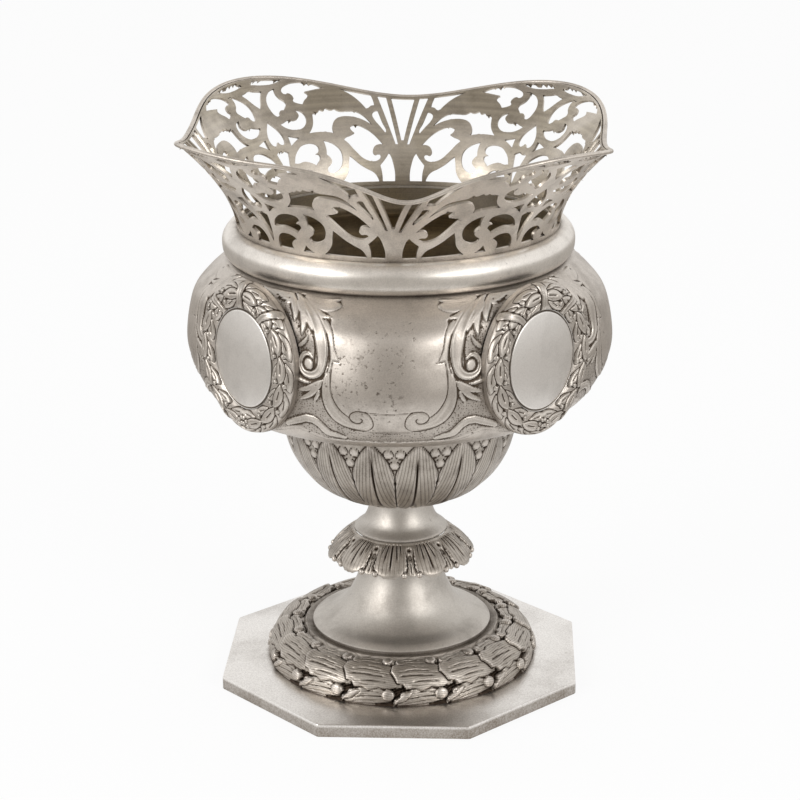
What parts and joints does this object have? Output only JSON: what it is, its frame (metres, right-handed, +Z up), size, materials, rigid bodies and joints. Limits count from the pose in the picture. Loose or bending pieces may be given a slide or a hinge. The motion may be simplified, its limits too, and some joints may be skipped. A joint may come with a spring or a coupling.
{
  "type": "silver vase",
  "caption": "Footed silver vase with an octagonal plinth, leaf-chased bowl, bulging body with oval medallions and a pierced, flared gallery with a wavy rim.",
  "frame": {"origin": "centre of the plinth's underside, on the surface that the vase stands on", "axes": "+Z up the stem through the mouth, -Y towards the plain front panel, +X to its right"},
  "size_m": [0.142, 0.142, 0.1958],
  "materials": {
    "plain_silver": "aged satin silver",
    "chased_silver": "chased silver with dark patina in the recesses",
    "satin_silver": "soft satin silver",
    "pierced_silver": "hand-sawn sheet silver with brown tarnish inside",
    "fixing_steel": "plain steel"
  },
  "bodies": {
    "root": {"plinth_top_plate": "plain_silver", "plinth_side_strip": "plain_silver", "wreath_ring": "chased_silver", "foot": "plain_silver", "leaf_collar": "chased_silver", "stem": "plain_silver", "bowl": "chased_silver", "body_shell": "chased_silver", "medallion_plate_1": "satin_silver", "medallion_plate_2": "satin_silver", "medallion_plate_3": "satin_silver", "medallion_plate_4": "satin_silver", "medallion_wreath_1": "chased_silver", "medallion_wreath_2": "chased_silver", "medallion_wreath_3": "chased_silver", "medallion_wreath_4": "chased_silver", "neck_ring": "plain_silver", "gallery": "pierced_silver", "rim_wire": "pierced_silver", "tie_rod": "fixing_steel", "washer": "fixing_steel", "nut": "fixing_steel"}
  },
  "joints": []
}
